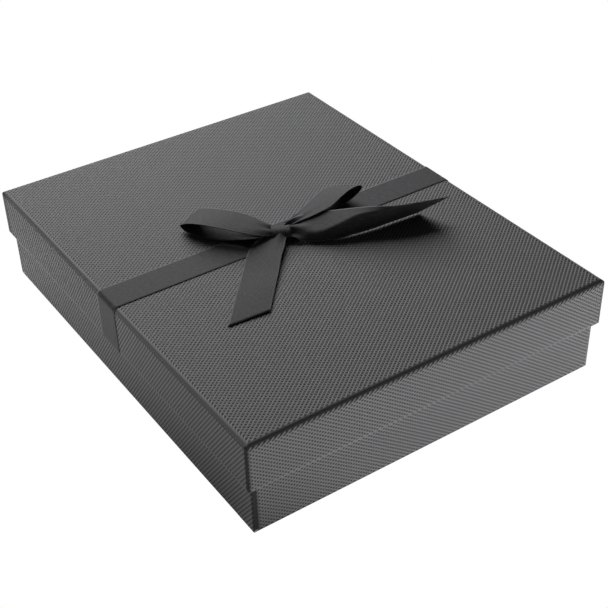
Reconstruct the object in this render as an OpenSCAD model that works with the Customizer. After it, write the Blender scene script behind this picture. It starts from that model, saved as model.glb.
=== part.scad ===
// Gift box: a paper-covered greyboard tray, a lid that lifts off it,
// and a satin ribbon round the lid with a tied bow fixed on top.
// Origin: centre of the underside. +Z is up, +Y runs along the long side and -Y is the front.

/* [Box] */
// Length of the lid, front to back
lid_length = 350; // [250:1:450]
// Width of the lid, side to side
lid_width = 282; // [220:1:380]
// Height of the closed box, without the bow
box_height = 75; // [60:1:120]
// Height of the lid's side walls
lid_depth = 36; // [30:1:50]
// Free gap between the lid's lining and the tray, on each side
lid_gap = 0.9; // [0.8:0.1:2]
// Radius of the soft long edges round the top of the lid
lid_edge_radius = 3; // [2.5:0.1:4]
// Radius of the soft long edges round the foot of the tray
tray_edge_radius = 2; // [1.5:0.1:3]
// Radius of the upright corners
corner_radius = 1; // [0.6:0.1:2]

/* [Board and paper] */
// Thickness of the greyboard
board_t = 2; // [1.6:0.1:3]
// Thickness of the embossed paper and of the lining paper
paper_t = 0.2; // [0.15:0.05:0.3]
// Width of the paper that is turned in over each rim and under the base
turn_in = 15; // [10:1:20]
// Length of each leg of a corner stay
stay_leg = 20; // [12:1:30]
// Thickness of the corner stays, which are pressed flush into the board
stay_t = 0.15; // [0.1:0.05:0.2]
// Bare border left round the sheet that covers the underside
base_border = 5; // [2:1:10]

/* [Ribbon] */
// Width of the ribbon
ribbon_w = 25; // [15:1:38]
// Thickness of the ribbon
ribbon_t = 0.4; // [0.3:0.05:0.5]
// Length of ribbon turned up inside each side wall of the lid
ribbon_tuck = 22; // [15:1:28]
// Thickness of the adhesive pads behind the turned-up ribbon ends
pad_t = 0.1; // [0.05:0.05:0.15]

/* [Bow] */
// Across the knot, side to side
knot_w = 15; // [12:1:20]
// Height of the knot
knot_h = 9; // [7:1:12]
// Length of the left loop
left_loop_length = 71; // [50:1:85]
// Length of the right loop
right_loop_length = 76; // [55:1:90]
// Length of the tail that lies towards the front
front_tail_length = 105; // [70:1:120]
// Length of the tail that stands up towards the right
right_tail_length = 121; // [100:1:130]

/* [Hidden] */

$fn = 48;
greyboard = "#8d8a84";
paper_colour = "#3f3f42";
lining_colour = "#2b2b2d";
stay_colour = "#b9a98a";
ribbon_colour = "#2e2d30";
glue_colour = "#d9d6c8";
bite = 1;            // how far a cutting block runs past the face that it cuts

// Lid levels and sizes
lid_foot = box_height - lid_depth;
lid_core_w = lid_width - 2 * paper_t;
lid_core_l = lid_length - 2 * paper_t;
lid_core_h = lid_depth - 2 * paper_t;
lid_hollow_w = lid_core_w - 2 * board_t;
lid_hollow_l = lid_core_l - 2 * board_t;
lid_ceiling = box_height - paper_t - board_t;
lid_inner_w = lid_hollow_w - 2 * paper_t;
lid_inner_l = lid_hollow_l - 2 * paper_t;

// Tray levels and sizes
tray_width = lid_inner_w - 2 * lid_gap;
tray_length = lid_inner_l - 2 * lid_gap;
tray_height = lid_ceiling - paper_t;
tray_core_w = tray_width - 2 * paper_t;
tray_core_l = tray_length - 2 * paper_t;
tray_core_foot = 2 * paper_t;
tray_core_h = tray_height - 3 * paper_t;
tray_hollow_w = tray_core_w - 2 * board_t;
tray_hollow_l = tray_core_l - 2 * board_t;
tray_floor = tray_core_foot + board_t;
tray_inner_w = tray_hollow_w - 2 * paper_t;
tray_inner_l = tray_hollow_l - 2 * paper_t;
base_window_w = tray_width - 2 * turn_in;
base_window_l = tray_length - 2 * turn_in;
base_lap = 1;        // width over which the two levels of the base sheet join
stay_margin = 2;     // stays stop this far short of a rim or a soft edge

// Bow
band_top = box_height + ribbon_t;
bow_x = -7;
bow_y = -7;
dot_r = 5;
dot_h = 1;
slice_t = 0.4;              // thickness of the upright slices that loops and tails are spanned from
knot_foot = band_top + dot_h;
knot_mid = knot_foot + knot_h / 2;
knot_reach = knot_w / 2;    // half the knot, and so where loops and tails begin
throat = knot_reach + 1;    // distance from the knot's centre to the gathered ribbon beside it
throat_w = 7;               // width of the gathered ribbon
throat_h = 2.2;             // height of the gathered ribbon
loop_belly = 0.62;          // where a loop is fullest, as a share of its length
loop_end_h = 4;

left_loop_yaw = 126;
left_loop_h = 13;

right_loop_yaw = 14;
right_loop_h = 9;
right_loop_lean = -20;      // the right loop tips up along its front edge, degrees
right_loop_shift = -2;      // sideways shift of the right loop, towards the front
right_loop_mid = band_top + 9;

front_tail_yaw = 224;
tail_t = 1.2;
tail_cut = 35;              // slant of the front tail's end, degrees
tail_spread = 30;           // distance from the knot's centre to where a tail is at full width

right_tail_yaw = -20.4;
right_tail_drop = 7.5;      // sideways shift of the tip, towards the front
right_tail_tip = band_top + 19.6;
// Slices along the right tail: share of its length, sideways shift, height of the middle, width, lean
right_tail_slices = [[0.26, -4, band_top + 9.1, 22, 49],
                     [0.51, -6.8, band_top + 10.6, 20, 96],
                     [0.86, 0, band_top + 10, 23.5, 129]];

// ---- shared shapes ----

// A rectangle, centred, with rounded corners
module rounded_rect(w, l, r) {
    square([w - 2 * r, l], center = true);
    square([w, l - 2 * r], center = true);
    for (sx = [-1, 1], sy = [-1, 1])
        translate([sx * (w / 2 - r), sy * (l / 2 - r)]) circle(r);
}

// A wall's section: flat foot on the axis, its two upper corners rounded
module arch(w, h, r) {
    translate([-w / 2, 0]) square([w, h - r]);
    translate([-w / 2 + r, 0]) square([w - 2 * r, h]);
    for (sx = [-1, 1])
        translate([sx * (w / 2 - r), h - r]) circle(r);
}

// A block standing on z = 0 with soft upper edges and tight upright corners
module soft_block(w, l, h, r, corner) {
    intersection() {
        rotate([90, 0, 0]) translate([0, 0, -l / 2]) linear_extrude(l) arch(w, h, r);
        rotate([90, 0, 90]) translate([0, 0, -w / 2]) linear_extrude(w) arch(l, h, r);
        linear_extrude(h) rounded_rect(w, l, corner);
    }
}

// The same block with its soft edges at the foot
module soft_foot_block(w, l, h, r, corner) {
    translate([0, 0, h]) mirror([0, 0, 1]) soft_block(w, l, h, r, corner);
}

// A flat rectangular plate, centred in plan, between two heights
module plate(w, l, z0, z1) {
    translate([0, 0, z0]) linear_extrude(z1 - z0) square([w, l], center = true);
}

// A rectangular ring of paper between two heights, its outer size given
module paper_ring(w, l, z0, z1) {
    translate([0, 0, z0]) linear_extrude(z1 - z0) difference() {
        square([w, l], center = true);
        square([w - 2 * paper_t, l - 2 * paper_t], center = true);
    }
}

// One side panel of a board core: side is -1 or 1, along X (left or right) or Y (front or back)
module side_wall(core_w, core_l, side, z0, z1) {
    translate([side * (core_w - board_t) / 2, 0, z0])
        linear_extrude(z1 - z0) square([board_t, core_l], center = true);
}

module end_wall(core_w, core_l, side, z0, z1) {
    translate([0, side * (core_l - board_t) / 2, z0])
        linear_extrude(z1 - z0) square([core_w - 2 * board_t, board_t], center = true);
}

// Four angle strips of stay paper let into the outer corners of a board core
module corner_stays(core_w, core_l, corner, z0, z1) {
    intersection() {
        translate([0, 0, z0]) linear_extrude(z1 - z0) difference() {
            rounded_rect(core_w, core_l, corner);
            rounded_rect(core_w - 2 * stay_t, core_l - 2 * stay_t, corner - stay_t);
        }
        for (sx = [-1, 1], sy = [-1, 1])
            translate([sx * core_w / 2, sy * core_l / 2, (z0 + z1) / 2])
                cube([2 * stay_leg, 2 * stay_leg, z1 - z0 + bite], center = true);
    }
}

// ---- tray ----

module tray_core() {
    translate([0, 0, tray_core_foot])
        soft_foot_block(tray_core_w, tray_core_l, tray_core_h,
                        tray_edge_radius - paper_t, corner_radius - paper_t);
}

module tray_stays() {
    corner_stays(tray_core_w, tray_core_l, corner_radius - paper_t,
                 tray_core_foot + tray_edge_radius + stay_margin,
                 tray_core_foot + tray_core_h - stay_margin);
}

module tray_side_board(side) {
    color(greyboard) difference() {
        intersection() {
            tray_core();
            side_wall(tray_core_w, tray_core_l, side, tray_core_foot, tray_core_foot + tray_core_h);
        }
        tray_stays();
    }
}

module tray_end_board(side) {
    color(greyboard) difference() {
        intersection() {
            tray_core();
            end_wall(tray_core_w, tray_core_l, side, tray_core_foot, tray_core_foot + tray_core_h);
        }
        tray_stays();
    }
}

module tray_floor_board() {
    color(greyboard) plate(tray_hollow_w, tray_hollow_l, tray_core_foot, tray_floor);
}

module tray_front_board() {
    tray_end_board(-1);
}

module tray_back_board() {
    tray_end_board(1);
}

module tray_left_board() {
    tray_side_board(-1);
}

module tray_right_board() {
    tray_side_board(1);
}

module tray_corner_stays() {
    color(stay_colour) tray_stays();
}

// Embossed paper: up the four walls, turned in over the rim and turned under the base
module tray_side_wrap() {
    color(paper_colour) {
        difference() {
            translate([0, 0, paper_t])
                soft_foot_block(tray_width, tray_length, tray_height - paper_t,
                                tray_edge_radius, corner_radius);
            tray_core();
            plate(base_window_w, base_window_l, -bite, tray_core_foot + bite);
            plate(tray_inner_w, tray_inner_l, tray_height - turn_in, tray_height + bite);
        }
        paper_ring(tray_hollow_w, tray_hollow_l, tray_height - turn_in, tray_height);
    }
}

// Smooth sheet that covers the underside; its middle steps up inside the turned-under paper
module tray_base_sheet() {
    color(lining_colour) {
        difference() {
            plate(tray_width - 2 * base_border, tray_length - 2 * base_border, 0, paper_t);
            plate(base_window_w - 2 * base_lap, base_window_l - 2 * base_lap, -bite, paper_t + bite);
        }
        plate(base_window_w, base_window_l, paper_t, tray_core_foot);
    }
}

module tray_wall_lining() {
    color(lining_colour)
        paper_ring(tray_hollow_w, tray_hollow_l, tray_floor + paper_t, tray_height - turn_in);
}

module tray_floor_lining() {
    color(lining_colour) plate(tray_hollow_w, tray_hollow_l, tray_floor, tray_floor + paper_t);
}

// ---- lid ----

module lid_core() {
    translate([0, 0, lid_foot + paper_t])
        soft_block(lid_core_w, lid_core_l, lid_core_h,
                   lid_edge_radius - paper_t, corner_radius - paper_t);
}

module lid_stays() {
    corner_stays(lid_core_w, lid_core_l, corner_radius - paper_t,
                 lid_foot + paper_t + stay_margin,
                 box_height - lid_edge_radius - stay_margin);
}

module lid_side_board(side) {
    color(greyboard) difference() {
        intersection() {
            lid_core();
            side_wall(lid_core_w, lid_core_l, side, lid_foot + paper_t, lid_ceiling);
        }
        lid_stays();
    }
}

module lid_end_board(side) {
    color(greyboard) difference() {
        intersection() {
            lid_core();
            end_wall(lid_core_w, lid_core_l, side, lid_foot + paper_t, lid_ceiling);
        }
        lid_stays();
    }
}

module lid_top_board() {
    color(greyboard) intersection() {
        lid_core();
        plate(lid_core_w, lid_core_l, lid_ceiling, box_height);
    }
}

module lid_front_board() {
    lid_end_board(-1);
}

module lid_back_board() {
    lid_end_board(1);
}

module lid_left_board() {
    lid_side_board(-1);
}

module lid_right_board() {
    lid_side_board(1);
}

module lid_corner_stays() {
    color(stay_colour) lid_stays();
}

// Embossed paper: over the top, down the four walls and turned in round the rim
module lid_wrap() {
    color(paper_colour) {
        difference() {
            translate([0, 0, lid_foot])
                soft_block(lid_width, lid_length, lid_depth, lid_edge_radius, corner_radius);
            lid_core();
            plate(lid_inner_w, lid_inner_l, lid_foot - bite, lid_foot + paper_t + bite);
        }
        paper_ring(lid_hollow_w, lid_hollow_l, lid_foot, lid_foot + turn_in);
    }
}

// Smooth lining paper: the lid's ceiling and the walls above the turned-in paper
module lid_lining() {
    color(lining_colour) {
        plate(lid_hollow_w, lid_hollow_l, lid_ceiling - paper_t, lid_ceiling);
        paper_ring(lid_hollow_w, lid_hollow_l, lid_foot + turn_in, lid_ceiling);
    }
}

// ---- ribbon ----

// Half of the turned-up end: under the rim, then up the inside of the wall
module ribbon_return(side) {
    inner_face = lid_inner_w / 2 - pad_t;
    outer_face = lid_width / 2 + ribbon_t;
    translate([side > 0 ? inner_face - ribbon_t : -outer_face, -ribbon_t])
        square([outer_face - inner_face + ribbon_t, ribbon_t]);
    translate([side > 0 ? inner_face - ribbon_t : -inner_face, -ribbon_t])
        square([ribbon_t, ribbon_tuck + ribbon_t]);
}

// The ribbon's section along its length, with the lid's foot on the axis
module ribbon_path() {
    difference() {
        arch(lid_width + 2 * ribbon_t, lid_depth + ribbon_t, lid_edge_radius + ribbon_t);
        arch(lid_width, lid_depth, lid_edge_radius);
    }
    ribbon_return(-1);
    ribbon_return(1);
}

module ribbon_band() {
    color(ribbon_colour) translate([0, ribbon_w / 2, lid_foot])
        rotate([90, 0, 0]) linear_extrude(ribbon_w) ribbon_path();
}

module ribbon_end_pads() {
    color(glue_colour) for (side = [-1, 1])
        translate([side * (lid_inner_w - pad_t) / 2, 0, lid_foot + (ribbon_tuck + stay_margin) / 2])
            cube([pad_t, ribbon_w - 2 * stay_margin, ribbon_tuck - stay_margin], center = true);
}

// ---- bow ----

// Places its children at the knot, with +X pointing along a loop or tail
module from_knot(yaw) {
    translate([bow_x, bow_y, 0]) rotate([0, 0, yaw]) children();
}

// A thin upright slice across the run of a loop or tail, leant over by an angle
module slice(x, y, z, w, h, lean = 0) {
    translate([x, y, z]) rotate([lean, 0, 0]) cube([slice_t, w, h], center = true);
}

module bow_glue_dot() {
    color(glue_colour) translate([bow_x, bow_y, band_top]) cylinder(r = dot_r, h = dot_h);
}

// Barrel of ribbon wound once round the middle of the bow
module bow_knot() {
    color(ribbon_colour) translate([bow_x, bow_y, knot_foot]) cylinder(r = knot_reach, h = knot_h);
}

module bow_left_loop() {
    belly_mid = band_top + (left_loop_h + throat_h) / 2;
    color(ribbon_colour) from_knot(left_loop_yaw) hull() {
        slice(throat, 0, knot_mid, throat_w, throat_h);
        slice(left_loop_length * loop_belly, 0, belly_mid, ribbon_w, left_loop_h);
        slice(left_loop_length, 0, belly_mid, ribbon_w, loop_end_h);
    }
}

module bow_right_loop() {
    color(ribbon_colour) from_knot(right_loop_yaw) hull() {
        slice(throat, 0, knot_mid, throat_w, throat_h);
        slice(right_loop_length * loop_belly, right_loop_shift, right_loop_mid,
              ribbon_w, right_loop_h, right_loop_lean);
        slice(right_loop_length, right_loop_shift, right_loop_mid - 1,
              ribbon_w, loop_end_h, right_loop_lean);
    }
}

// Front tail seen from above: gathered at the knot, full width, then cut on the slant
module tail_outline(length) {
    half = ribbon_w / 2;
    slant = ribbon_w * tan(tail_cut);
    polygon([[throat, -throat_w / 2], [tail_spread, -half], [length, -half],
             [length - slant, half], [tail_spread, half], [throat, throat_w / 2]]);
}

module bow_front_tail() {
    color(ribbon_colour) from_knot(front_tail_yaw) translate([0, 0, band_top])
        linear_extrude(tail_t) tail_outline(front_tail_length);
}

module right_tail_slice(row) {
    slice(row[0] * right_tail_length, row[1], row[2], row[3], tail_t, row[4]);
}

// Right tail: stands on one edge and leans over towards its free end, which is cut to a point
module bow_right_tail() {
    color(ribbon_colour) from_knot(right_tail_yaw) {
        hull() {
            slice(throat, -throat_h, knot_mid - throat_h, throat_w, tail_t, right_tail_slices[0][4] / 2);
            right_tail_slice(right_tail_slices[0]);
        }
        hull() {
            right_tail_slice(right_tail_slices[0]);
            right_tail_slice(right_tail_slices[1]);
        }
        hull() {
            right_tail_slice(right_tail_slices[1]);
            right_tail_slice(right_tail_slices[2]);
            slice(right_tail_length, -right_tail_drop, right_tail_tip, tail_t, tail_t);
        }
    }
}

tray_floor_board();
tray_front_board();
tray_back_board();
tray_left_board();
tray_right_board();
tray_corner_stays();
tray_side_wrap();
tray_base_sheet();
tray_wall_lining();
tray_floor_lining();
lid_top_board();
lid_front_board();
lid_back_board();
lid_left_board();
lid_right_board();
lid_corner_stays();
lid_wrap();
lid_lining();
ribbon_band();
ribbon_end_pads();
bow_glue_dot();
bow_knot();
bow_left_loop();
bow_right_loop();
bow_front_tail();
bow_right_tail();
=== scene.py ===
import math

import bmesh
import bpy
from bpy.props import FloatProperty, FloatVectorProperty, PointerProperty
from mathutils import Matrix, Vector


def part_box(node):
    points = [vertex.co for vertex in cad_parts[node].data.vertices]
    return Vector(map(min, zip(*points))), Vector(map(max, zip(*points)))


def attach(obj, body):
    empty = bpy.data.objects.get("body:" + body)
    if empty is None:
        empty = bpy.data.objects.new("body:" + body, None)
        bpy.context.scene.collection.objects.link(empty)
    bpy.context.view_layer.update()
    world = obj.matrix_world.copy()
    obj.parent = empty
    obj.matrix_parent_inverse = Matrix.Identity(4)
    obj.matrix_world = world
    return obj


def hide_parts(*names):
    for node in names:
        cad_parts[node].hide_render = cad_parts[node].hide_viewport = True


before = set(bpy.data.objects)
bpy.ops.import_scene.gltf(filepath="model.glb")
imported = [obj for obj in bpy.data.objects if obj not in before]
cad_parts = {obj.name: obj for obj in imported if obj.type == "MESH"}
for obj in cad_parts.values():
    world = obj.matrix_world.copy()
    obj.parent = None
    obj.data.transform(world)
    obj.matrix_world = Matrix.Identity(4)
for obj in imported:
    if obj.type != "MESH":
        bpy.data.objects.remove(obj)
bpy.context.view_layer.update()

bl_info = {
    "name": "Ribboned gift box",
    "version": (1, 0, 0),
    "blender": (4, 5, 0),
    "location": "View3D > Sidebar > Gift box",
    "description": "Covers a board box in embossed paper and dresses its lid with a satin bow",
    "category": "Object",
}

MM = 0.001
CM = 0.01

# The box as the frame has it
LID_LOW, LID_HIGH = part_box("lid_wrap")
TRAY_LOW, TRAY_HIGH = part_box("tray_side_wrap")
LID_CORE_LOW, LID_CORE_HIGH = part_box("lid_left_board")
BAND_LOW, BAND_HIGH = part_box("ribbon_band")
PAPER_T = LID_CORE_LOW.x - LID_LOW.x
BOARD_T = LID_CORE_HIGH.x - LID_CORE_LOW.x
WALL_T = BOARD_T + 2 * PAPER_T
RIBBON_W = BAND_HIGH.y - BAND_LOW.y
LID_TOP = LID_HIGH.z

# Folds of the covering paper
TURN_IN = 15 * MM       # how far it is turned in past the rim
LID_FOLD_R = 3 * MM
TRAY_FOLD_R = 2 * MM
RIM_R = 0.45 * MM
CORNER_R = 1 * MM       # upright corners


# ---- settings ----

class PaperSettings(bpy.types.PropertyGroup):
    pitch_across: FloatProperty(
        name="Emboss pitch across", description="Repeat of the embossing across the box",
        default=3.846 * MM, min=1 * MM, unit="LENGTH")
    pitch_along: FloatProperty(
        name="Emboss pitch along", description="Repeat of the embossing along the box",
        default=2.907 * MM, min=1 * MM, unit="LENGTH")
    relief: FloatProperty(
        name="Relief", description="Height of the embossing above and below the paper's middle level",
        default=0.17 * MM, min=0.0, max=0.18 * MM, unit="LENGTH")
    # The paper's colour in the hollows of the embossing, near black there as painted shade
    colour: FloatVectorProperty(
        name="Paper", description="Colour of the embossed paper", subtype="COLOR", size=3,
        default=(0.004, 0.004, 0.005), min=0.0, max=1.0)
    # The pale end of the paper's colour: painted highlight on the crests of the embossing, and the
    # paler rim and folds
    highlight_and_wear: FloatVectorProperty(
        name="Paper highlight and wear", description="Colour of the paper on its high points and folds",
        subtype="COLOR", size=3, default=(0.112, 0.111, 0.114), min=0.0, max=1.0)
    lining: FloatVectorProperty(
        name="Lining", description="Colour of the smooth lining paper", subtype="COLOR", size=3,
        default=(0.03, 0.03, 0.032), min=0.0, max=1.0)


class RibbonSettings(bpy.types.PropertyGroup):
    colour: FloatVectorProperty(
        name="Ribbon", description="Colour of the satin ribbon", subtype="COLOR", size=3,
        default=(0.0185, 0.0181, 0.0193), min=0.0, max=1.0)
    thickness: FloatProperty(
        name="Thickness", description="Thickness of the ribbon", default=0.35 * MM,
        min=0.1 * MM, unit="LENGTH")
    band_shift: FloatProperty(
        name="Band shift", description="How far the band lies behind the middle of the lid",
        default=1.0 * MM, unit="LENGTH")


class StageSettings(bpy.types.PropertyGroup):
    key_power: FloatProperty(
        name="Key light", description="Power of the large light behind the box", default=39.0,
        min=0.0, unit="POWER")
    surround: FloatProperty(
        name="Surround", description="Brightness of the surround", default=0.05, min=0.0)
    floor_glow: FloatProperty(
        name="Floor glow", description="Light that the pale table gives off", default=1.0, min=0.0)


class GiftBoxSettings(bpy.types.PropertyGroup):
    paper: PointerProperty(type=PaperSettings)
    ribbon: PointerProperty(type=RibbonSettings)
    stage: PointerProperty(type=StageSettings)


def settings():
    return bpy.context.scene.gift_box


# ---- shader groups and materials ----

def new_group(name, inputs, outputs):
    """An empty shader group with named sockets; sockets are (name, type, default)."""
    group = bpy.data.node_groups.new(name, "ShaderNodeTree")
    for socket, kind, default in inputs:
        made = group.interface.new_socket(socket, in_out="INPUT", socket_type=kind)
        if default is not None:
            made.default_value = default
    for socket, kind in outputs:
        group.interface.new_socket(socket, in_out="OUTPUT", socket_type=kind)
    return group, group.nodes.new("NodeGroupInput"), group.nodes.new("NodeGroupOutput")


def math_node(tree, operation, a, b=None, clamp=False):
    """A Math node; each operand is a socket or a number. Returns its output."""
    node = tree.nodes.new("ShaderNodeMath")
    node.operation = operation
    node.use_clamp = clamp
    for socket, value in zip(node.inputs, (a, b)):
        if value is None:
            continue
        if isinstance(value, (int, float)):
            socket.default_value = value
        else:
            tree.links.new(value, socket)
    return node.outputs[0]


def noise_node(tree, vector, scale, detail=2.0, roughness=0.5):
    node = tree.nodes.new("ShaderNodeTexNoise")
    tree.links.new(vector, node.inputs["Vector"])
    if isinstance(scale, (int, float)):
        node.inputs["Scale"].default_value = scale
    else:
        tree.links.new(scale, node.inputs["Scale"])
    node.inputs["Detail"].default_value = detail
    node.inputs["Roughness"].default_value = roughness
    return node.outputs["Fac"]


def mix_colour(tree, factor, first, second):
    """Mixes two colours by a factor; each colour is a socket or a tuple."""
    node = tree.nodes.new("ShaderNodeMix")
    node.data_type = "RGBA"
    tree.links.new(factor, node.inputs[0])
    for socket, value in ((node.inputs[6], first), (node.inputs[7], second)):
        if isinstance(value, bpy.types.NodeSocket):
            tree.links.new(value, socket)
        else:
            socket.default_value = (*value, 1.0)
    return node.outputs[2]


def fibre_group():
    """Paper fibres: fine flecks, a slow cloud through the sheet, and the height of the tooth."""
    if "paper_fibres" in bpy.data.node_groups:
        return bpy.data.node_groups["paper_fibres"]
    group, start, end = new_group(
        "paper_fibres",
        [("Vector", "NodeSocketVector", None), ("Fleck Scale", "NodeSocketFloat", 900.0),
         ("Cloud Scale", "NodeSocketFloat", 14.0)],
        [("Flecks", "NodeSocketFloat"), ("Cloud", "NodeSocketFloat"), ("Height", "NodeSocketFloat")])
    vector = start.outputs["Vector"]
    flecks = noise_node(group, vector, start.outputs["Fleck Scale"], 3.0, 0.65)
    cloud = noise_node(group, vector, start.outputs["Cloud Scale"], 2.0, 0.5)
    stretched = group.nodes.new("ShaderNodeMapping")
    stretched.inputs["Scale"].default_value = (1.0, 0.35, 1.0)
    group.links.new(vector, stretched.inputs["Vector"])
    tooth = noise_node(group, stretched.outputs[0], start.outputs["Fleck Scale"], 4.0, 0.6)
    group.links.new(flecks, end.inputs["Flecks"])
    group.links.new(cloud, end.inputs["Cloud"])
    group.links.new(tooth, end.inputs["Height"])
    return group


# The ribbon's weave, in centimetres on a strip's own map
RIB_PITCH = 0.05
WARP_PITCH = 0.035
SELVEDGE_W = 0.09
RIB_HEIGHT, WARP_HEIGHT, CORD_HEIGHT, STREAK_HEIGHT = 0.30, 0.16, 1.4, 2.5    # shares of the bump
STREAK_SCALE = 9.0


def weave_group():
    """Satin weave on a strip's own map: fine cross ribs, warp lines and the two selvedges."""
    if "satin_weave" in bpy.data.node_groups:
        return bpy.data.node_groups["satin_weave"]
    group, start, end = new_group(
        "satin_weave",
        [("Vector", "NodeSocketVector", None), ("Half Width", "NodeSocketFloat", RIBBON_W / CM / 2),
         ("Rib Pitch", "NodeSocketFloat", RIB_PITCH), ("Warp Pitch", "NodeSocketFloat", WARP_PITCH),
         ("Selvedge", "NodeSocketFloat", SELVEDGE_W)],
        [("Height", "NodeSocketFloat"), ("Selvedge", "NodeSocketFloat"), ("Streak", "NodeSocketFloat")])
    parts = group.nodes.new("ShaderNodeSeparateXYZ")
    group.links.new(start.outputs["Vector"], parts.inputs[0])
    across, along = parts.outputs["X"], parts.outputs["Y"]
    turn = 2 * math.pi
    rib = math_node(group, "SINE", math_node(
        group, "MULTIPLY", math_node(group, "DIVIDE", along, start.outputs["Rib Pitch"]), turn))
    warp = math_node(group, "SINE", math_node(
        group, "MULTIPLY", math_node(group, "DIVIDE", across, start.outputs["Warp Pitch"]), turn))
    reach = math_node(group, "ABSOLUTE", across)
    inner = math_node(group, "SUBTRACT", start.outputs["Half Width"], start.outputs["Selvedge"])
    edge = math_node(group, "GREATER_THAN", reach, inner)
    cord = math_node(group, "MULTIPLY", edge, math_node(
        group, "SUBTRACT", 1.2, math_node(group, "DIVIDE", math_node(
            group, "SUBTRACT", reach, inner), start.outputs["Selvedge"])))
    weave = math_node(group, "ADD", math_node(group, "MULTIPLY", rib, RIB_HEIGHT),
                      math_node(group, "MULTIPLY", warp, WARP_HEIGHT))
    height = math_node(group, "ADD", weave, math_node(group, "MULTIPLY", cord, CORD_HEIGHT))
    stretch = group.nodes.new("ShaderNodeMapping")
    stretch.inputs["Scale"].default_value = (1.0, 0.3, 1.0)
    group.links.new(start.outputs["Vector"], stretch.inputs["Vector"])
    streak = noise_node(group, stretch.outputs[0], STREAK_SCALE, 3.0, 0.65)
    height = math_node(group, "ADD", height, math_node(group, "MULTIPLY", streak, STREAK_HEIGHT))
    group.links.new(height, end.inputs["Height"])
    group.links.new(edge, end.inputs["Selvedge"])
    group.links.new(streak, end.inputs["Streak"])
    return group


def new_material(name):
    """A new material, its node tree and its shader."""
    material = bpy.data.materials.new(name)
    material.use_nodes = True
    tree = material.node_tree
    return material, tree, tree.nodes["Principled BSDF"]


def object_coordinates(tree):
    return tree.nodes.new("ShaderNodeTexCoord").outputs["Object"]


def use_group(tree, group, vector, **values):
    """Places a shader group with its own values and returns its outputs."""
    node = tree.nodes.new("ShaderNodeGroup")
    node.node_tree = group
    tree.links.new(vector, node.inputs["Vector"])
    for name, value in values.items():
        node.inputs[name.replace("_", " ").title()].default_value = value
    return node.outputs


def bump(tree, shader, height, distance, strength=1.0):
    node = tree.nodes.new("ShaderNodeBump")
    node.inputs["Distance"].default_value = distance
    node.inputs["Strength"].default_value = strength
    tree.links.new(height, node.inputs["Height"])
    tree.links.new(node.outputs[0], shader.inputs["Normal"])


def fit_range(tree, value, low, high):
    """Spreads a 0..1 value between two numbers."""
    node = tree.nodes.new("ShaderNodeMapRange")
    tree.links.new(value, node.inputs["Value"])
    node.inputs["To Min"].default_value = low
    node.inputs["To Max"].default_value = high
    return node.outputs[0]


def spread(tree, value, start, end, low, high):
    """A smooth step of a value from one number to another."""
    node = tree.nodes.new("ShaderNodeMapRange")
    node.interpolation_type = "SMOOTHSTEP"
    tree.links.new(value, node.inputs["Value"])
    for name, number in (("From Min", start), ("From Max", end), ("To Min", low), ("To Max", high)):
        node.inputs[name].default_value = number
    return node.outputs[0]


def attribute(tree, name):
    """A value that the mesh carries at its vertices."""
    node = tree.nodes.new("ShaderNodeAttribute")
    node.attribute_name = name
    return node.outputs["Fac"]


CREST_GLOSS = 0.15                  # the pale high points are a little glossy
CREST_START, CREST_END = 0.34, 0.66     # where the pale colour begins up a crest, and where it is full: painted highlight on the crests, painted shade in the hollows
# Painted shade along the paper's cut edges at the seams
SEAM_SHADE_COLOUR = (0.004, 0.004, 0.004)
CLOUD_COLOUR = (0.03, 0.03, 0.032)


def embossed_paper():
    """Charcoal embossed paper: painted highlight on its high points and painted shade in its hollows,
    paler on its rim and on its folds, which are partly rubbed and partly painted highlight, and painted
    shade along its seams.
    """
    if "charcoal_embossing" in bpy.data.materials:
        return bpy.data.materials["charcoal_embossing"]
    paper = settings().paper
    material, tree, shader = new_material("charcoal_embossing")
    fibres = use_group(
        tree, fibre_group(), object_coordinates(tree), fleck_scale=1400.0, cloud_scale=9.0)
    # The pale share follows the relief: painted shade in the hollows, painted highlight on the crests
    paleness_with_painted_light = spread(tree, attribute(tree, "paleness_with_painted_light"), CREST_START, CREST_END, 0.0, 1.0)
    pale_share = math_node(tree, "MULTIPLY", paleness_with_painted_light, fit_range(tree, fibres["Flecks"], 0.9, 1.1), clamp=True)
    base = mix_colour(tree, pale_share, tuple(paper.colour), tuple(paper.highlight_and_wear))
    # Painted shade along the seams
    dark = mix_colour(tree, attribute(tree, "seam"), base, SEAM_SHADE_COLOUR)
    shade = mix_colour(tree, fit_range(tree, fibres["Cloud"], 0.0, 0.06), dark, CLOUD_COLOUR)
    tree.links.new(shade, shader.inputs["Base Color"])
    tree.links.new(fit_range(tree, fibres["Flecks"], 0.50, 0.66), shader.inputs["Roughness"])
    shader.inputs["Specular IOR Level"].default_value = 0.15
    tree.links.new(math_node(tree, "MULTIPLY", paleness_with_painted_light, CREST_GLOSS), shader.inputs["Coat Weight"])
    shader.inputs["Coat Roughness"].default_value = 0.5
    bump(tree, shader, fibres["Height"], 0.02 * MM, 0.5)
    return material


def plain_paper(name, colour, fleck, roughness, tooth):
    """An uncoated paper or board: a colour, flecks towards another, and a dry tooth."""
    if name in bpy.data.materials:
        return bpy.data.materials[name]
    material, tree, shader = new_material(name)
    fibres = use_group(
        tree, fibre_group(), object_coordinates(tree), fleck_scale=700.0, cloud_scale=20.0)
    flecked = mix_colour(tree, fit_range(tree, fibres["Flecks"], -0.6, 1.6), colour, fleck)
    tree.links.new(flecked, shader.inputs["Base Color"])
    tree.links.new(fit_range(tree, fibres["Cloud"], roughness - 0.06, roughness + 0.06),
                   shader.inputs["Roughness"])
    bump(tree, shader, fibres["Height"], tooth, 0.8)
    return material


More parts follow.
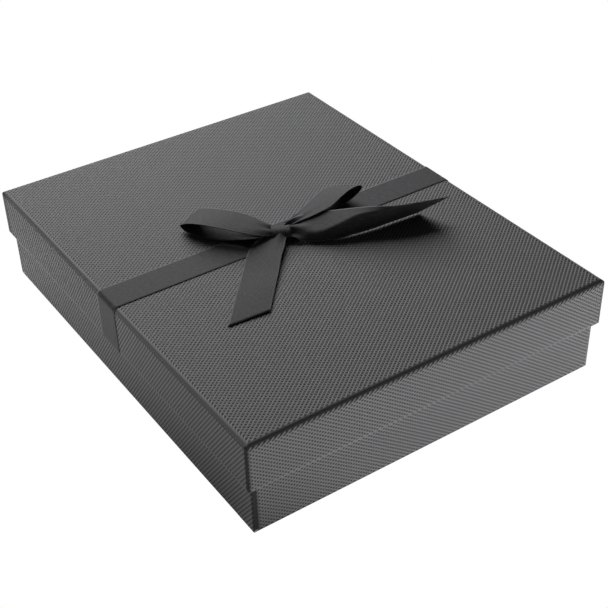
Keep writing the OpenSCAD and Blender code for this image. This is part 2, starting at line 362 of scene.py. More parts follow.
def adhesive():
    """Dark, slightly cloudy adhesive."""
    if "cloudy_glue" in bpy.data.materials:
        return bpy.data.materials["cloudy_glue"]
    material, tree, shader = new_material("cloudy_glue")
    cloud = noise_node(tree, object_coordinates(tree), 260.0, 2.0, 0.5)
    tree.links.new(mix_colour(tree, cloud, (0.03, 0.028, 0.024), (0.05, 0.047, 0.04)),
                   shader.inputs["Base Color"])
    tree.links.new(fit_range(tree, cloud, 0.2, 0.4), shader.inputs["Roughness"])
    return material


THREAD_PALER = 3.6      # the palest threads, and the woven edges with painted highlight on them, against the ribbon's own colour
EDGE_PALER = 7.0
EDGE_SHARE = 0.7


def satin():
    """Charcoal satin ribbon with woven edges, paler there partly as painted highlight, on each strip's
    own map in centimetres.
    """
    if "charcoal_satin" in bpy.data.materials:
        return bpy.data.materials["charcoal_satin"]
    ribbon = settings().ribbon
    material, tree, shader = new_material("charcoal_satin")
    strip = tree.nodes.new("ShaderNodeUVMap")
    strip.uv_map = "strip"
    weave = use_group(
        tree, weave_group(), strip.outputs[0], half_width=RIBBON_W / CM / 2,
        rib_pitch=RIB_PITCH, warp_pitch=WARP_PITCH, selvedge=SELVEDGE_W)
    body = tuple(ribbon.colour)
    paler = tuple(THREAD_PALER * channel for channel in body)
    thread = mix_colour(tree, fit_range(tree, weave["Streak"], -0.4, 1.4), body, paler)
    # The woven edges are paler: partly their own thread, partly painted highlight where the raised edge
    # catches light
    edge_thread_and_highlight = tuple(EDGE_PALER * channel for channel in body)
    edge_share = math_node(tree, "MULTIPLY", weave["Selvedge"], EDGE_SHARE)
    tree.links.new(mix_colour(tree, edge_share, thread, edge_thread_and_highlight), shader.inputs["Base Color"])
    tree.links.new(fit_range(tree, weave["Streak"], 0.58, 0.70), shader.inputs["Roughness"])
    shader.inputs["Specular IOR Level"].default_value = 0.1
    shader.inputs["Sheen Weight"].default_value = 0.05
    shader.inputs["Sheen Roughness"].default_value = 0.4
    bump(tree, shader, weave["Height"], 0.03 * MM, 0.8)
    return material


def finish_node(name, material):
    """Gives a CAD node its finish and leaves its shape alone."""
    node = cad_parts[name]
    node.data.materials.clear()
    node.data.materials.append(material)


def piece_from(bm, name, body, material, replaced):
    """Turns a bmesh into a named piece that rides on a body and stands for CAD nodes."""
    mesh = bpy.data.meshes.new(name)
    bm.to_mesh(mesh)
    bm.free()
    piece = bpy.data.objects.new(name, mesh)
    bpy.context.scene.collection.objects.link(piece)
    mesh.materials.append(material)
    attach(piece, body)
    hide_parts(*replaced)
    return piece


# ---- folded paper ----

class Wrap:
    """A sheet folded over a box: a face, four walls, a rim and a turn-in up the inside of the walls.

    The flat sheet is measured from the middle of the face. Past half the face's width or length it
    has gone round the soft fold and runs along a wall. up is 1 where the walls rise from the face,
    as on a tray, and -1 where they hang from it."""

    def __init__(self, low, high, up, fold_r, short, tabs):
        self.half = (high.x, high.y)
        self.depth = high.z - low.z
        self.face_z = low.z if up > 0 else high.z
        self.up = up
        self.fold_r = fold_r
        self.short = short
        self.tabs = tabs

    def section(self, past):
        """Place across a wall for a distance past the fold: (inset from the outer face, depth)."""
        folds = ((0.0, self.fold_r), (self.depth, RIM_R), (self.depth + WALL_T, RIM_R))
        turn = 0 if past < self.depth / 2 else 1 if past < self.depth + WALL_T / 2 else 2
        corner, radius = folds[turn]
        offset = past - corner
        if abs(offset) < radius:
            angle = (offset / radius + 1) * math.pi / 4
            before, after = radius * (1 - math.sin(angle)), radius * (1 - math.cos(angle))
        else:
            before, after = max(-offset, 0.0), max(offset, 0.0)
        if turn == 0:
            return before, after
        if turn == 1:
            return after, self.depth - before
        return WALL_T - before, self.depth - after

    def place(self, u, v):
        """The folded place of a point of the flat sheet."""
        flat = (u, v)
        past = [abs(flat[i]) - self.half[i] for i in (0, 1)]
        sign = [math.copysign(1, flat[i]) for i in (0, 1)]
        if max(past) <= 0:
            (inset_u, drop_u), (inset_v, drop_v) = self.section(past[0]), self.section(past[1])
            return Vector((sign[0] * (self.half[0] - inset_u), sign[1] * (self.half[1] - inset_v),
                           self.face_z + self.up * max(drop_u, drop_v)))
        wall = 0 if past[0] > past[1] else 1
        return self.on_wall(wall, sign, past[wall], -past[1 - wall])

    def on_wall(self, wall, sign, past, side):
        """A point of a wall: past its fold, and side short of its upright corner."""
        along = 1 - wall
        inset, drop = self.section(past)
        level = min(1.0, past / self.fold_r)
        fold_inset, fold_drop = self.section(-side)
        turned = side
        if side < CORNER_R:
            angle = (1 - side / CORNER_R) * math.pi / 4
            rounding = level * min(1.0, max(0.0, 1 - (past - self.depth) / MM))
            inset += rounding * CORNER_R * (1 - math.cos(angle))
            turned += rounding * (CORNER_R * (1 - math.sin(angle)) - side)
        place = [0.0, 0.0, self.face_z + self.up * max(drop, (1 - level) * fold_drop)]
        place[wall] = sign[wall] * (self.half[wall] - inset)
        place[along] = sign[along] * (self.half[along] - level * turned - (1 - level) * fold_inset)
        if level < 1 and side < self.fold_r:
            place[along] += sign[along] * self.corner_gap(past) * (1 - side / self.fold_r)
        return Vector(place)

    def corner_gap(self, past):
        """How far the end of one wall's fold would stop short of the next wall's."""
        level, turn = past / self.fold_r, CORNER_R * (1 - math.cos(math.pi / 4))
        end = level * level * turn + (1 - level) * self.section(0.0)[0]
        return end - self.section(past)[0] - level * turn

    def pale_share(self, u, v):
        """How pale the smooth paper is: most of all on the rim, then on the folds of the long sides,
        where it is partly wear and partly painted highlight.
        """
        past = [abs(u) - self.half[0], abs(v) - self.half[1]]
        from_rim = abs(max(past) - self.depth - WALL_T / 2) - WALL_T / 2
        rim = 1 - ease(from_rim, RIM_PALE_START, RIM_PALE_END)
        # Painted highlight, with some wear, along the folds of the long sides
        fold = 1 - ease(abs(past[0]), FOLD_WEAR_AND_HIGHLIGHT_START, FOLD_WEAR_AND_HIGHLIGHT_END) if past[1] < past[0] else 0.0
        return REST_CREST + (RIM_CREST - REST_CREST) * rim + (FOLD_CREST - REST_CREST) * fold

    def relief(self, u, v):
        """How fully the embossing stands at a point of the flat sheet: the folds are rubbed flat."""
        past = [abs(u) - self.half[0], abs(v) - self.half[1]]
        if max(past) <= 0:
            return min(ease(-p, BAND_START, BAND_END) for p in past)
        run = max(past)
        if run < self.depth:
            return min(ease(run, FOLD_START, FOLD_END), ease(self.depth - run, RIM_START, RIM_END))
        return ease(run - self.depth - WALL_T, RIM_START, RIM_END)

    def seam(self, u, v):
        """(painted shade along a seam's cut edge, lift over a hidden tab) at a point of the flat sheet.
        """
        past = [abs(u) - self.half[0], abs(v) - self.half[1]]
        if max(past) <= 0 or max(past) > self.depth:
            return 0.0, 0.0
        wall = 0 if past[0] > past[1] else 1
        key = (wall, math.copysign(1, (u, v)[wall]), math.copysign(1, (u, v)[1 - wall]))
        side = -past[1 - wall]
        end = self.short.get(key, 0.0)
        # Painted shade near the paper's cut edge, or near the corner where the paper does not stop
        # short
        dark = 1 - ease(side - end, SEAM_START, SEAM_W)
        lift = 0.0
        if key in self.tabs:
            lift = TAB_LIFT * (1 - ease(side, self.tabs[key], self.tabs[key] + TAB_SLOPE))
        return dark * SEAM_DARK, lift


BAND_START, BAND_END = 2.4 * MM, 4.0 * MM       # flat band on the face beside a fold
FOLD_START, FOLD_END = 1.0 * MM, 2.4 * MM       # and on the wall below it
RIM_START, RIM_END = 0.5 * MM, 1.3 * MM         # and beside the rim
RIM_PALE_START, RIM_PALE_END = 0.9 * MM, 1.5 * MM
# Where the painted highlight and wear along a long side's fold fade out
FOLD_WEAR_AND_HIGHLIGHT_START, FOLD_WEAR_AND_HIGHLIGHT_END = 2.5 * MM, 5 * MM
# Painted shade along a seam: where it begins to fade from the cut edge, where it is gone, and how dark
# it is
SEAM_START, SEAM_W = 0.5 * MM, 1.2 * MM
SEAM_DARK = 0.92
TAB_LIFT, TAB_SLOPE = 0.08 * MM, 1.5 * MM
REST_CREST = 0.45                               # how pale the smooth paper is
RIM_CREST = 0.9                                 # and on the rim
FOLD_CREST = 0.57                               # and on the folds of the long sides, partly wear and partly painted highlight
LAYER = 0.1 * MM                                # step down to the paper under a seam
STRIP_COLUMNS, STRIP_ROWS = 8, 24


def ease(value, low, high):
    """A smooth step from 0 at low to 1 at high."""
    share = min(1.0, max(0.0, (value - low) / (high - low)))
    return share * share * (3 - 2 * share)


def centre_of(face, axis):
    return sum(v.co[axis] for v in face.verts) / len(face.verts)


def cut(bm, axis, lines, within, test=None):
    """Cuts the flat sheet along lines across the given axis, where the test holds."""
    for at in lines:
        faces = [f for f in bm.faces
                 if abs(f.verts[0].co[axis] - at) < within and (test is None or test(f))]
        edges, verts = {e for f in faces for e in f.edges}, {v for f in faces for v in f.verts}
        line, normal = Vector((0, 0, 0)), Vector((0, 0, 0))
        line[axis], normal[axis] = at, 1
        bmesh.ops.bisect_plane(
            bm, geom=faces + list(edges) + list(verts), dist=1e-7, plane_co=line, plane_no=normal)


def discard(bm, test):
    """Deletes the faces whose centre passes the test."""
    faces = [f for f in bm.faces if test(centre_of(f, 0), centre_of(f, 1))]
    bmesh.ops.delete(bm, geom=faces, context="FACES")


def flat_blank(wrap, cell, window):
    """The flat cross-shaped sheet, one cell to each half repeat, with a line at every fold."""
    half, depth = wrap.half, wrap.depth
    reach = depth + WALL_T + TURN_IN
    counts = [2 * (int((half[i] + reach) / cell[i]) + 1) for i in (0, 1)]
    bm = bmesh.new()
    bmesh.ops.create_grid(bm, x_segments=counts[0], y_segments=counts[1], size=1.0)
    bmesh.ops.scale(bm, vec=(counts[0] * cell[0] / 2, counts[1] * cell[1] / 2, 1), verts=bm.verts[:])
    for axis in (0, 1):
        ends = (half[axis], half[axis] + reach)
        cut(bm, axis, [sign * end for sign in (-1, 1) for end in ends], 1.5 * cell[axis])
    discard(bm, lambda x, y: abs(x) > half[0] and abs(y) > half[1])
    discard(bm, lambda x, y: abs(x) > half[0] + reach or abs(y) > half[1] + reach)
    for axis in (0, 1):
        along = 1 - axis
        lines = [half[axis] + share * wrap.fold_r for share in (-1, -0.66, -0.33, 0.33, 0.66, 1)]
        for corner in (half[axis] + depth, half[axis] + depth + WALL_T):
            lines += [corner - RIM_R, corner, corner + RIM_R]
        if window:
            lines.append(window[axis])
        cut(bm, axis, [sign * line for sign in (-1, 1) for line in lines], 1.5 * cell[axis],
            lambda f: abs(centre_of(f, along)) < half[along])
    for axis in (0, 1):     # the wall faces along this axis, and its ends are cut across the other
        along = 1 - axis
        inner = half[along] - WALL_T
        for sign in (-1, 1):
            for end in (-1, 1):
                def flap(f, start=half[axis]):
                    return sign * centre_of(f, axis) > start
                def past_rim(f, start=half[axis] + depth + (WALL_T if axis == 0 else 0)):
                    return sign * centre_of(f, axis) > start
                cut(bm, along, [end * inner], 1.5 * cell[along], past_rim)
                short = wrap.short.get((axis, sign, end), 0.0)
                if short:
                    cut(bm, along, [end * (half[along] - short)], 1.5 * cell[along], flap)
                bmesh.ops.delete(bm, context="FACES", geom=[
                    f for f in bm.faces
                    if (past_rim(f) and end * centre_of(f, along) > inner)
                    or (flap(f) and end * centre_of(f, along) > half[along] - short)])
    if window:
        discard(bm, lambda x, y: abs(x) < window[0] and abs(y) < window[1])
    return bm


def add_corner_strips(bm, wrap, layers):
    """Where a wall's paper stops short of its corner, the smooth lap of the next wall's paper shows."""
    for (wall, sign, end), short in wrap.short.items():
        signs = [0, 0]
        signs[wall], signs[1 - wall] = sign, end
        made = bmesh.ops.create_grid(
            bm, x_segments=STRIP_COLUMNS, y_segments=STRIP_ROWS, size=1.0)["verts"]
        for vert in made:
            side = (vert.co.x + 1) / 2 * (short + MM)
            past = (vert.co.y + 1) / 2 * (wrap.depth - 0.1 * MM)
            # Painted shade on the lap under the cut edge of the paper over it; the lap keeps no pale
            # share, so it takes the paper's darkest colour
            vert[layers["seam"]] = SEAM_DARK * ease(side, short - 0.4 * MM, short)
            vert.co = wrap.on_wall(wall, signs, past, side)
            vert.co[wall] -= sign * LAYER * ease(side, 0.4 * MM, 1.2 * MM)
        faces = list({f for v in made for f in v.link_faces})
        bm.normal_update()
        if sum(f.normal[wall] for f in faces) * sign < 0:
            bmesh.ops.reverse_faces(bm, faces=faces)
        for face in faces:
            face.smooth = True


def folded_paper(wrap, window=None):
    """The embossed sheet of one half of the box, folded into place."""
    paper = settings().paper
    cell = (paper.pitch_across / 2, paper.pitch_along / 2)
    bm = flat_blank(wrap, cell, window)
    layers = {name: bm.verts.layers.float.new(name) for name in ("paleness_with_painted_light", "seam")}
    raised, smooth, moves, places = [], set(), [], []
    for vert in bm.verts:
        u, v = vert.co.x, vert.co.y
        mask = wrap.relief(u, v)
        dark, lift = wrap.seam(u, v)
        wave = math.cos(math.pi * (u / cell[0])) * math.cos(math.pi * (v / cell[1]))
        rest = wrap.pale_share(u, v)
        # The pale share rises and falls with the relief: painted highlight on the crests and painted
        # shade in the hollows
        vert[layers["paleness_with_painted_light"]] = rest + (0.5 + wave / 2 - rest) * mask
        vert[layers["seam"]] = dark
        moves.append(paper.relief * mask * wave + lift)
        places.append(wrap.place(u, v))
        if mask < 0.05:
            smooth.add(vert)
        if wave > 0.9:
            raised.append(vert)
    for vert, place in zip(bm.verts, places):
        vert.co = place
    if wrap.up > 0:
        bmesh.ops.reverse_faces(bm, faces=bm.faces[:])
    bm.normal_update()
    for vert, move in zip(bm.verts, moves):
        vert.co += vert.normal * move
    bmesh.ops.connect_verts(bm, verts=raised)
    for face in bm.faces:
        face.smooth = all(v in smooth for v in face.verts)
    add_corner_strips(bm, wrap, layers)
    return bm


class GIFTBOX_OT_cover_lid(bpy.types.Operator):
    """Folds the embossed paper over the lid"""
    bl_idname = "giftbox.cover_lid"
    bl_label = "Cover the lid"

    def execute(self, context):
        # (wall's axis, its side, end): how far its paper stops short of the corner, and how wide a
        # tab lies under it
        short = {(0, -1, 1): 6 * MM, (1, 1, 1): 3.5 * MM, (0, 1, -1): 3.5 * MM, (0, -1, -1): 2 * MM}
        tabs = {(0, -1, -1): 17 * MM, (0, 1, 1): 17 * MM}
        wrap = Wrap(LID_LOW, LID_HIGH, -1, LID_FOLD_R, short, tabs)
        piece_from(folded_paper(wrap), "lid_paper", "lid",
                   embossed_paper(), ["lid_wrap"])
        return {"FINISHED"}


class GIFTBOX_OT_cover_tray(bpy.types.Operator):
    """Folds the embossed paper round the tray's walls"""
    bl_idname = "giftbox.cover_tray"
    bl_label = "Cover the tray"

    def execute(self, context):
        short = {(0, -1, 1): 3.5 * MM, (1, 1, 1): 3.5 * MM, (0, 1, -1): 3.5 * MM, (1, -1, -1): 3 * MM}
        wrap = Wrap(TRAY_LOW, TRAY_HIGH, 1, TRAY_FOLD_R, short, {(0, -1, -1): 17 * MM})
        window = (TRAY_HIGH.x - TURN_IN, TRAY_HIGH.y - TURN_IN)
        piece_from(folded_paper(wrap, window), "tray_paper", "tray",
                   embossed_paper(), ["tray_side_wrap"])
        return {"FINISHED"}


class GIFTBOX_OT_finish_boards(bpy.types.Operator):
    """Gives the boards, stays, linings and adhesive their finishes"""
    bl_idname = "giftbox.finish_boards"
    bl_label = "Finish boards and linings"

    def execute(self, context):
        board = plain_paper("grey_pulp_board", (0.23, 0.22, 0.20), (0.36, 0.35, 0.32), 0.9, 0.05 * MM)
        stay = plain_paper("brown_gummed_paper", (0.46, 0.36, 0.22), (0.55, 0.46, 0.32), 0.7, 0.03 * MM)
        lining = tuple(settings().paper.lining)
        paler = tuple(1.6 * channel for channel in lining)
        liner = plain_paper("black_liner", lining, paler, 0.78, 0.03 * MM)
        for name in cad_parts:
            if name.endswith("_board"):
                finish_node(name, board)
            elif name.endswith("_stays"):
                finish_node(name, stay)
            elif name.endswith("_lining") or name == "tray_base_sheet":
                finish_node(name, liner)
            elif name in ("ribbon_end_pads", "bow_glue_dot"):
                finish_node(name, adhesive())
        return {"FINISHED"}


# ---- ribbon ----

def along_curve(rows, share):
    """A smooth curve through rows of numbers, at a share of its run."""
    before = [2 * a - b for a, b in zip(rows[0], rows[1])]
    after = [2 * a - b for a, b in zip(rows[-1], rows[-2])]
    rows = [before, *rows, after]
    spans = len(rows) - 3
    place = share * spans
    k = min(int(place), spans - 1)
    f = place - k
    result = []
    for a, b, c, d in zip(*rows[k:k + 4]):
        result.append(0.5 * (2 * b + (c - a) * f + (2 * a - 5 * b + 4 * c - d) * f ** 2
                             + (3 * b - a - 3 * c + d) * f ** 3))
    return result


def strip_mesh(place, across, along):
    """A ribbon strip: place(s, t) gives its middle surface for s across (-1..1) and t along (0..1).

    The strip carries its own map in centimetres, across from its middle and along from its start."""
    bm = bmesh.new()
    bmesh.ops.create_grid(bm, x_segments=across, y_segments=along, size=1.0)
    strip = bm.loops.layers.uv.new("strip")
    runs = [0.0]
    previous = place(0.0, 0.0)
    for step in range(1, along + 1):
        here = place(0.0, step / along)
        runs.append(runs[-1] + (here - previous).length)
        previous = here
    for face in bm.faces:
        face.smooth = True
        for loop in face.loops:
            t = (loop.vert.co.y + 1) / 2
            loop[strip].uv = (loop.vert.co.x * RIBBON_W / 2 * 100, runs[round(t * along)] * 100)
    for vert in bm.verts:
        vert.co = place(vert.co.x, (vert.co.y + 1) / 2)
    return bm


def ribbon_piece(name, place, grid, replaced):
    """A strip of the ribbon as a piece on the lid."""
    piece = piece_from(strip_mesh(place, *grid), name, "lid", satin(), replaced)
    solid = piece.modifiers.new("thickness", "SOLIDIFY")
    solid.thickness = settings().ribbon.thickness
    solid.offset = 0.0


BAND_GAP_INSIDE = 0.3 * MM      # room between the band and the lid's wall inside it
BAND_GAP_BELOW = 0.2 * MM
BAND_TUCK = 22 * MM             # how far its ends are turned up inside
BAND_STEP = 4 * MM


class GIFTBOX_OT_lay_band(bpy.types.Operator):
    """Lays the ribbon over the lid and turns its ends up inside the walls"""
    bl_idname = "giftbox.lay_band"
    bl_label = "Lay the ribbon band"

    def execute(self, context):
        ribbon = settings().ribbon
        lift = ribbon.thickness / 2 + settings().paper.relief
        outer, inner = LID_HIGH.x + lift, LID_HIGH.x - WALL_T - BAND_GAP_INSIDE
        top, foot = LID_TOP + lift, LID_LOW.z - BAND_GAP_BELOW
        fold, tuck = LID_FOLD_R + lift, LID_LOW.z + BAND_TUCK
        rim_turn = (math.pi / 8, math.pi / 4, 3 * math.pi / 8)
        half = [(inner, tuck), (inner, foot + RIM_R)]
        half += [(inner + RIM_R * (1 - math.cos(a)), foot + RIM_R * (1 - math.sin(a)))
                 for a in rim_turn]
        half += [(inner + RIM_R, foot), (outer - RIM_R, foot)]
        half += [(outer - RIM_R * (1 - math.sin(a)), foot + RIM_R * (1 - math.cos(a)))
                 for a in rim_turn]
        half += [(outer, foot + RIM_R), (outer, top - fold)]
        half += [(outer - fold * (1 - math.cos(a)), top - fold * (1 - math.sin(a)))
                 for a in [math.pi / 2 * k / 10 for k in range(1, 10)]]
        half += [(outer - fold, top)]
        path = [(-x, z) for x, z in half] + [(x, z) for x, z in reversed(half)]
        lengths = [0.0]
        for (x0, z0), (x1, z1) in zip(path, path[1:]):
            lengths.append(lengths[-1] + math.hypot(x1 - x0, z1 - z0))
        stops = []
        for start, end in zip(lengths, lengths[1:]):
            pieces = max(1, round((end - start) / BAND_STEP))
            stops += [start + (end - start) * k / pieces for k in range(pieces)]
        stops.append(lengths[-1])
        middle = ribbon.band_shift

        def place(s, t):
            run = stops[round(t * (len(stops) - 1))]
            k = max(i for i, length in enumerate(lengths[:-1]) if length <= run + 1e-9)
            share = (run - lengths[k]) / (lengths[k + 1] - lengths[k])
            x = path[k][0] + share * (path[k + 1][0] - path[k][0])
            z = path[k][1] + share * (path[k + 1][1] - path[k][1])
            return Vector((x, middle + s * RIBBON_W / 2, z))

        ribbon_piece("band_ribbon", place, (16, len(stops) - 1), ["ribbon_band"])
        return {"FINISHED"}


# Stations along a loop or tail: one edge then the other, in millimetres above the lid, then how far
# the middle bows out and how much it is gathered there.
LEFT_LOOP = (
    (-11, -7, 6.5, -7, 0, 8, 0, 0.7), (-19, -7.2, 8.3, -10.5, 5.5, 9.5, -1.1, 0.3),
    (-28, -4, 10.5, -14, 12.3, 10.8, -1.3, 0.1), (-36, 3.5, 12, -18.7, 20.3, 12, -0.9, 0.05),
    (-43, 12.3, 12.8, -24, 27.6, 12.8, -0.7, 0), (-49.5, 21.3, 13, -29.5, 35.7, 12.4, -0.4, 0),
    (-55, 30.5, 12, -34.8, 43.6, 11.4, -0.2, 0), (-58.3, 39, 9, -37.8, 50.5, 9, 0, 0),
    (-59, 44.5, 4.5, -38.5, 55, 5, 0, 0), (-57, 38, 2, -36, 49, 2.5, 0, 0),
    (-50, 24, 1.2, -29, 37, 1.5, 0, 0), (-37, 11, 1.5, -20, 24, 1.5, 0, 0.1),
    (-24, 0, 3, -12, 9, 3, 0, 0.5), (-12, -6, 5, -8, 1, 5, 0, 1))
RIGHT_LOOP = (
    (-2, -6, 7, 1, 0, 7.5, 0, 0.6), (8, -7.5, 9.5, 10.6, 2.6, 8.5, 0.7, 0.35),
    (19, -10.5, 12.5, 20.5, 6.6, 9.6, 0.8, 0.12), (31.5, -12.8, 16.3, 30, 11, 10.3, 0.7, 0.05),
    (43.5, -9, 18.3, 38.5, 15, 10.5, 0.7, 0), (55.1, -3.5, 17.5, 46.1, 18.7, 10, 0.4, 0),
    (64, -0.5, 16, 54.7, 20.8, 8.5, 0.2, 0), (69, 0.5, 13.5, 61, 22.3, 5.5, 0, 0),
    (66.5, 1.2, 9, 60, 24, 1.8, 0, 0), (57, 1.5, 4.5, 49, 24, 1.2, 0, 0),
    (41, 1, 3, 33, 20, 1.2, 0, 0.2), (22, -3.5, 3, 19, 9, 2, 0, 0.5), (0, -5, 5, 1.5, 1, 5, 0, 1))
FRONT_TAIL = (
    (-3, -8, 4.5, -12, -1, 4.5, -0.5, 1), (-4.5, -11, 6.5, -17, -0.5, 5.5, -1.0, 1),
    (-8, -14.8, 6.3, -22, -1.2, 4.2, -0.9, 0.5),
    (-13.5, -21.5, 5.2, -29, -3.8, 2.6, -0.8, 0.2), (-21.5, -29.8, 4.2, -38.5, -11.5, 1.4, -0.4, 0),
    (-32.5, -43, 3, -52, -27, 1.0, 0.4, 0), (-48, -61, 1.9, -68, -45.5, 1.2, -0.2, 0),
    (-70.5, -87.5, 1, -90.9, -72.7, 0.9, 0.1, 0))
# Stations along the right tail: the edge that stands on the lid, the fold that runs along the
# ribbon and the other edge, in millimetres above the lid, then the gather.
RIGHT_TAIL = (
    (-9, -10, 4.5, -6, -7.5, 7.5, -4, -4, 7.5, 1),
    (-3.5, -13.8, 4.2, -1, -10, 8.5, 3.9, -1.5, 9, 0.9),
    (3.5, -21, 2, 6.3, -19, 8, 12.5, -2.2, 10.6, 0.4),
    (13, -26.5, 1.2, 14.3, -26.2, 8.6, 22.4, -6.4, 12.2, 0),
    (25.5, -30.2, 1, 26.3, -31.8, 13, 31.1, -15.1, 14.7, 0),
    (39, -32.5, 1, 39.8, -35.4, 17.2, 42, -25.9, 18, 0),
    (53, -34.2, 1, 52.6, -41.6, 18.6, 53, -36.2, 20.6, 0),
    (67, -34.9, 1, 66, -44, 19, 66, -46, 21.2, 0),
    (81, -35.6, 1, 80.3, -45, 14, 80.6, -50.5, 20.8, 0),
    (92.9, -36.4, 1, 92.6, -46, 12, 92, -52.6, 19.9, 0),
    (105, -38, 1, 105, -48.5, 11, 104.5, -56.5, 20, 0))
PLEATS = 2.0            # pleats across a gathered width
PLEAT_MAX = 1.6         # and their greatest height, in millimetres
FOLD_SOFT = 0.09        # share of the width over which the right tail's fold turns
CURVE_STEP = 0.01       # share of a strip's run over which its direction is taken


def pleated(point, near, far, run, gather, s):
    """Moves a point of a gathered cross-section out of its line, so that the width is taken up."""
    out = run.cross(far - near).normalized()
    chord = (far - near).length
    slack = max(0.0, RIBBON_W / MM / max(chord, 1.0) - 1)
    pleat = min(PLEAT_MAX, chord / (math.pi * PLEATS) * math.sqrt(slack)) * gather
    return point + out * pleat * math.cos(math.pi * PLEATS * s)


def direction(stations, t, last):
    """Which way a strip runs; last is where the far edge's numbers start in a row."""
    ahead = along_curve(stations, min(1.0, t + CURVE_STEP))
    behind = along_curve(stations, max(0.0, t - CURVE_STEP))
    middles = [Vector(row[0:3]) + Vector(row[last:last + 3]) for row in (ahead, behind)]
    return (middles[0] - middles[1]).normalized()


def above_lid(point):
    """A point in millimetres above the lid, as a place in the frame."""
    return Vector((point.x * MM, point.y * MM, LID_TOP + point.z * MM))


def station_strip(stations, cut_share=0.0):
    """place(s, t) for a strip through stations, bowed across and pleated where it is gathered.

    cut_share shortens the first edge's side at the far end, for a tail cut on the slant."""
    def place(s, t):
        t = t * (1 - cut_share * (1 - s) / 2)
        row = along_curve(stations, t)
        near, far = Vector(row[0:3]), Vector(row[3:6])
        run = direction(stations, t, 3)
        point = near.lerp(far, (s + 1) / 2) + run.cross(far - near).normalized() * row[6] * (1 - s * s)
        return above_lid(pleated(point, near, far, run, row[7], s))

    return place


def folded_strip(stations, cut_share):
    """place(s, t) for a strip with a soft fold along it, between its two edges."""
    def place(s, t):
        t = t * (1 - cut_share * (1 - s) / 2)
        row = along_curve(stations, t)
        near, crown, far = (Vector(row[k:k + 3]) for k in (0, 3, 6))
        first, second = (crown - near).length, (far - crown).length
        turn = first / (first + second)
        share = (s + 1) / 2
        soft = min(FOLD_SOFT, turn, 1 - turn)
        past = max(0.0, share - turn)
        if abs(share - turn) < soft:
            past = (share - turn + soft) ** 2 / (4 * soft)
        point = near + (crown - near) * ((share - past) / turn) + (far - crown) * (past / (1 - turn))
        return above_lid(pleated(point, near, far, direction(stations, t, 6), row[9], s))

    return place


# Each stretch of ribbon's mesh across and along, and the slant of a tail's end
LOOP_GRID, RIGHT_TAIL_GRID, FRONT_TAIL_GRID, KNOT_GRID = (24, 110), (32, 120), (24, 90), (32, 64)
RIGHT_TAIL_CUT, FRONT_TAIL_CUT = 1 / 10, 0.066


class GIFTBOX_OT_make_loops(bpy.types.Operator):
    """Makes the two loops of the bow"""
    bl_idname = "giftbox.make_loops"
    bl_label = "Make the bow's loops"

    def execute(self, context):
        ribbon_piece("left_loop_ribbon", station_strip(LEFT_LOOP), LOOP_GRID, ["bow_left_loop"])
        ribbon_piece("right_loop_ribbon", station_strip(RIGHT_LOOP), LOOP_GRID, ["bow_right_loop"])
        return {"FINISHED"}


class GIFTBOX_OT_make_tails(bpy.types.Operator):
    """Makes the bow's two tails, each cut on the slant"""
    bl_idname = "giftbox.make_tails"
    bl_label = "Make the bow's tails"

    def execute(self, context):
        ribbon_piece("right_tail_ribbon", folded_strip(RIGHT_TAIL, RIGHT_TAIL_CUT), RIGHT_TAIL_GRID,
                     ["bow_right_tail"])
        ribbon_piece("front_tail_ribbon", station_strip(FRONT_TAIL, FRONT_TAIL_CUT), FRONT_TAIL_GRID,
                     ["bow_front_tail"])
        return {"FINISHED"}


KNOT_PLACE = Vector((-6.6 * MM, -5.9 * MM, LID_TOP + 5.2 * MM))
KNOT_TURN = math.radians(-25)
KNOT_HALF_W = 6.2 * MM
KNOT_REACH = 5.6 * MM
KNOT_RISE = 4.3 * MM
KNOT_EDGE_R = 0.5 * MM
KNOT_CREASE = 0.25 * MM
KNOT_FLARE = 0.5 * MM
KNOT_SQUARE = 0.8       # below 1, the loop of the knot is squarer than round


class GIFTBOX_OT_make_knot(bpy.types.Operator):
    """Winds the ribbon once round the middle of the bow, its edges folded under"""
    bl_idname = "giftbox.make_knot"
    bl_label = "Make the bow's knot"

    def execute(self, context):
        fold = math.pi * KNOT_EDGE_R

        def place(s, t):
            turn = 2 * math.pi * t
            width = abs(s) * RIBBON_W / 2
            if width < KNOT_HALF_W:
                side, under = width, 0.0
            elif width < KNOT_HALF_W + fold:
                angle = (width - KNOT_HALF_W) / KNOT_EDGE_R
                side = KNOT_HALF_W + KNOT_EDGE_R * math.sin(angle)
                under = KNOT_EDGE_R * (1 - math.cos(angle))
            else:
                side, under = KNOT_HALF_W - (width - KNOT_HALF_W - fold), 2 * KNOT_EDGE_R
            x = math.copysign(side, s)
            crease = KNOT_CREASE * math.cos(2.4 * x / KNOT_HALF_W + 0.6)
            swell = crease + KNOT_FLARE * (x / KNOT_HALF_W) ** 4 - under
            squash = math.copysign(abs(math.cos(turn)) ** KNOT_SQUARE, math.cos(turn))
            y = (KNOT_REACH + swell) * squash
            z = (KNOT_RISE + swell) * math.sin(turn)
            return KNOT_PLACE + Matrix.Rotation(KNOT_TURN, 3, "Z") @ Vector((x, y, z))

        ribbon_piece("knot_ribbon", place, KNOT_GRID, ["bow_knot"])
        return {"FINISHED"}


# ---- stage ----

FLOOR_REACH = 40.0
FRONT_GLOW = (2.0, 2.6)     # light off the floor before the front wall, from its left to its right
LEFT_GLOW = (0.34, 1.28)    # and beside the left wall, from its front to its back
SEEN_GLOW = 1.0             # the floor is seen as plain white
CORNER_OFFSET = TRAY_LOW.x - TRAY_LOW.y
CORNER_BLEND = (CORNER_OFFSET - 0.05, CORNER_OFFSET + 0.10)
KEY_PLACE = (0.30, 1.15, 1.11)
KEY_SIZE = (1.1, 1.4)
CAMERA_PLACE = (-0.39509, -0.62800, 0.55077)
CAMERA_RIGHT = (0.8275383, -0.5609203, -0.0234257)
CAMERA_UP = (0.3456162, 0.4761254, 0.8086124)
CAMERA_LENS = 73.29


